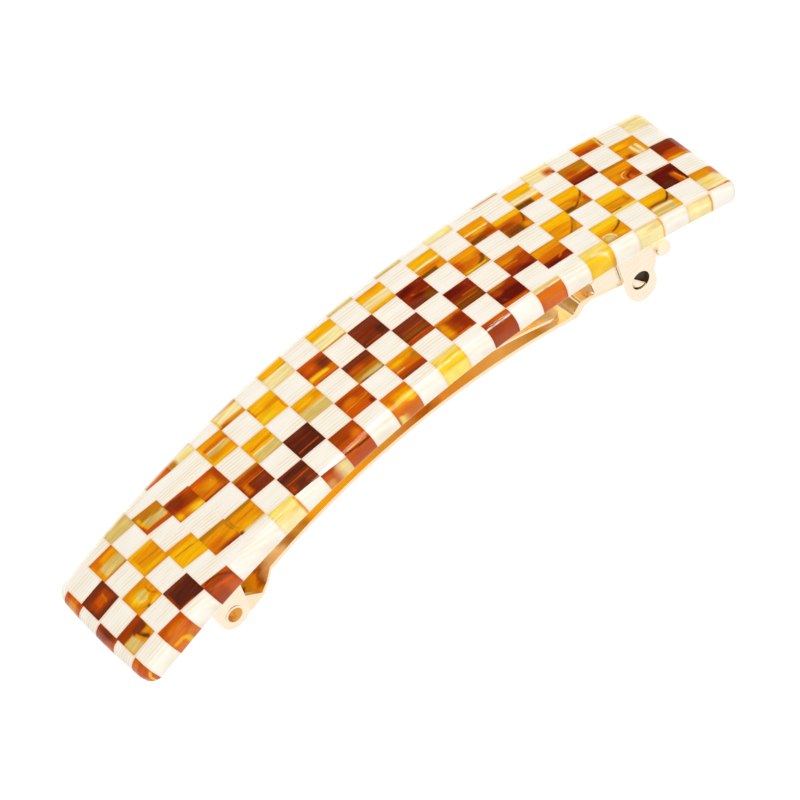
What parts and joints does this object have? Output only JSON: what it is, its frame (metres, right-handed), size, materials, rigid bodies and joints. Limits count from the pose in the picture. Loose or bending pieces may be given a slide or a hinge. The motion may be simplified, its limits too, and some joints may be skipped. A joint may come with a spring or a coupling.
{
  "type": "barrette",
  "caption": "Curved check-pattern acetate hair barrette on a sprung metal clip: hinged locking arm, tension bow and side-squeeze release tabs.",
  "frame": {"origin": "bottom centre of the closed barrette's box: under the middle of the acetate plate, level with the feet of the two clasp ears", "axes": "+X along the barrette towards the clasp, +Y across it, +Z out from the head through the plate's polished face"},
  "size_m": [0.0996, 0.021, 0.0204],
  "materials": {
    "acetate": "polished",
    "clip_metal": "polished"
  },
  "bodies": {
    "frame": {"acetate_plate": "acetate", "base_plate": "clip_metal", "fixing_pins": "clip_metal", "hinge_tube": "clip_metal"},
    "arm": {"locking_arm": "clip_metal", "latch_spring": "clip_metal", "latch_rivet": "clip_metal"},
    "bow": {"tension_bow": "clip_metal"},
    "tab_near": {"release_tab_near": "clip_metal"},
    "tab_far": {"release_tab_far": "clip_metal"}
  },
  "joints": [
    {"name": "arm_hinge", "type": "hinge", "parent": "frame", "child": "arm", "pos_m": [-0.0343, 0, 0.0044], "axis": [0, 1, 0], "range_deg": [0, 75]},
    {"name": "bow_hinge", "type": "hinge", "parent": "frame", "child": "bow", "pos_m": [-0.0343, 0, 0.0044], "axis": [0, 1, 0], "range_deg": [0, 37.5]},
    {"name": "release_near", "type": "hinge", "parent": "arm", "child": "tab_near", "pos_m": [0.0284, -0.0045, 0.0062], "axis": [0.3518, 0, 0.9361], "range_deg": [0, 7], "stiffness_Nm_per_rad": 0.02},
    {"name": "release_far", "type": "hinge", "parent": "arm", "child": "tab_far", "pos_m": [0.0284, 0.0045, 0.0062], "axis": [0.3518, 0, 0.9361], "range_deg": [-7, 0], "stiffness_Nm_per_rad": 0.02}
  ],
  "couplings": [
    {"joint": "bow_hinge", "follows": "arm_hinge", "ratio": 0.5},
    {"joint": "release_far", "follows": "release_near", "ratio": -1}
  ]
}
